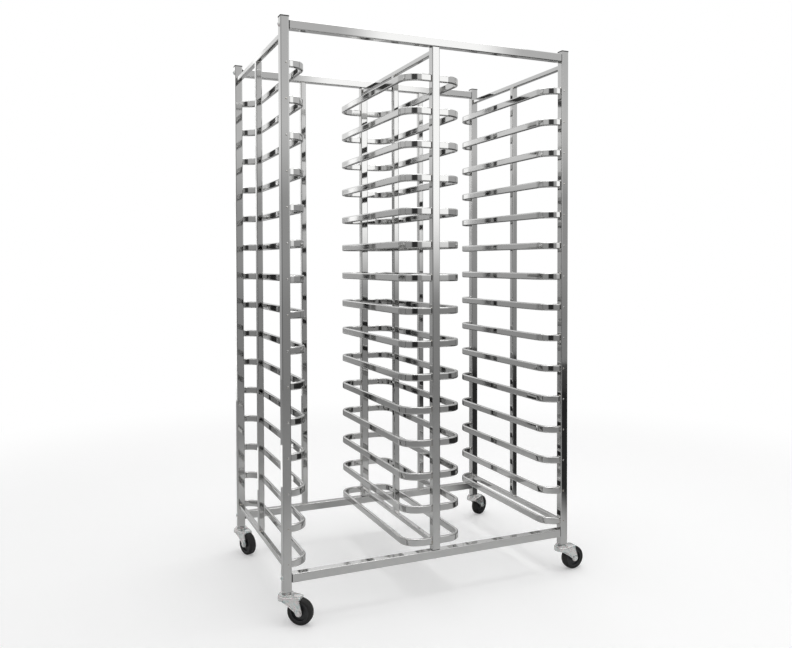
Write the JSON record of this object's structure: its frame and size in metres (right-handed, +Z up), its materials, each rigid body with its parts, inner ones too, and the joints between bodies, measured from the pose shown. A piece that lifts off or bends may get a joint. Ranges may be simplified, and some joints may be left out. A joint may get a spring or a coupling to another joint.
{
  "type": "double sheet pan rack",
  "caption": "Free-standing open rack of square stainless tube with twin bays of flat-tube slides for sheet pans, on swivel casters.",
  "frame": {"origin": "on the floor, under the middle of the frame of the rack", "axes": "+Z up, +X from the left bay to the right bay seen from the open front, -Y out of the front where pans go in"},
  "size_m": [1.0352, 0.6993, 1.695],
  "materials": {
    "polished_stainless": "polished",
    "zinc_plated_steel": "bright zinc plated",
    "black_plastic": "moulded",
    "grey_plastic": "moulded",
    "black_rubber": "moulded rubber"
  },
  "bodies": {
    "root": {"left_front_post": "polished_stainless", "left_back_post": "polished_stainless", "left_middle_upright": "polished_stainless", "left_top_rail": "polished_stainless", "left_bottom_rail": "polished_stainless", "centre_front_post": "polished_stainless", "centre_back_post": "polished_stainless", "centre_middle_upright": "polished_stainless", "centre_top_rail": "polished_stainless", "centre_bottom_rail": "polished_stainless", "right_front_post": "polished_stainless", "right_back_post": "polished_stainless", "right_middle_upright": "polished_stainless", "right_top_rail": "polished_stainless", "right_bottom_rail": "polished_stainless", "front_top_crossbar": "polished_stainless", "front_bottom_crossbar": "polished_stainless", "back_top_crossbar": "polished_stainless", "back_bottom_crossbar": "polished_stainless", "left_back_stop": "polished_stainless", "right_back_stop": "polished_stainless", "post_caps": "black_plastic", "threaded_plugs": "black_plastic", "crossbar_bolts": "zinc_plated_steel", "centre_frame_bolts": "zinc_plated_steel", "slide_plug_welds": "polished_stainless", "pan_slides_level_01": "polished_stainless", "pan_slides_level_02": "polished_stainless", "pan_slides_level_03": "polished_stainless", "pan_slides_level_04": "polished_stainless", "pan_slides_level_05": "polished_stainless", "pan_slides_level_06": "polished_stainless", "pan_slides_level_07": "polished_stainless", "pan_slides_level_08": "polished_stainless", "pan_slides_level_09": "polished_stainless", "pan_slides_level_10": "polished_stainless", "pan_slides_level_11": "polished_stainless", "pan_slides_level_12": "polished_stainless", "pan_slides_level_13": "polished_stainless", "pan_slides_level_14": "polished_stainless", "pan_slides_level_15": "polished_stainless", "caster_sockets": "black_plastic", "caster_stems": "zinc_plated_steel", "caster_balls": "zinc_plated_steel"},
    "front_left_swivel": {"front_left_fork": "zinc_plated_steel", "front_left_axle": "zinc_plated_steel"},
    "front_left_wheel": {"front_left_hub": "grey_plastic", "front_left_tyre": "black_rubber"},
    "back_left_swivel": {"back_left_fork": "zinc_plated_steel", "back_left_axle": "zinc_plated_steel"},
    "back_left_wheel": {"back_left_hub": "grey_plastic", "back_left_tyre": "black_rubber"},
    "front_right_swivel": {"front_right_fork": "zinc_plated_steel", "front_right_axle": "zinc_plated_steel"},
    "front_right_wheel": {"front_right_hub": "grey_plastic", "front_right_tyre": "black_rubber"},
    "back_right_swivel": {"back_right_fork": "zinc_plated_steel", "back_right_axle": "zinc_plated_steel"},
    "back_right_wheel": {"back_right_hub": "grey_plastic", "back_right_tyre": "black_rubber"}
  },
  "joints": [
    {"name": "front_left_swivel_turn", "type": "hinge", "parent": "root", "child": "front_left_swivel", "pos_m": [-0.465, -0.298, 0.078], "axis": [0, 0, 1], "continuous": true},
    {"name": "front_left_wheel_spin", "type": "hinge", "parent": "front_left_swivel", "child": "front_left_wheel", "pos_m": [-0.43283, -0.325, 0.0375], "axis": [0.6428, 0.766, 0], "continuous": true},
    {"name": "back_left_swivel_turn", "type": "hinge", "parent": "root", "child": "back_left_swivel", "pos_m": [-0.465, 0.298, 0.078], "axis": [0, 0, 1], "continuous": true},
    {"name": "back_left_wheel_spin", "type": "hinge", "parent": "back_left_swivel", "child": "back_left_wheel", "pos_m": [-0.45064, 0.25853, 0.0375], "axis": [0.9397, 0.342, 0], "continuous": true},
    {"name": "front_right_swivel_turn", "type": "hinge", "parent": "root", "child": "front_right_swivel", "pos_m": [0.465, -0.298, 0.078], "axis": [0, 0, 1], "continuous": true},
    {"name": "front_right_wheel_spin", "type": "hinge", "parent": "front_right_swivel", "child": "front_right_wheel", "pos_m": [0.50697, -0.29653, 0.0375], "axis": [-0.0349, 0.9994, 0], "continuous": true},
    {"name": "back_right_swivel_turn", "type": "hinge", "parent": "root", "child": "back_right_swivel", "pos_m": [0.465, 0.298, 0.078], "axis": [0, 0, 1], "continuous": true},
    {"name": "back_right_wheel_spin", "type": "hinge", "parent": "back_right_swivel", "child": "back_right_wheel", "pos_m": [0.50242, 0.31707, 0.0375], "axis": [-0.454, 0.891, 0], "continuous": true}
  ]
}
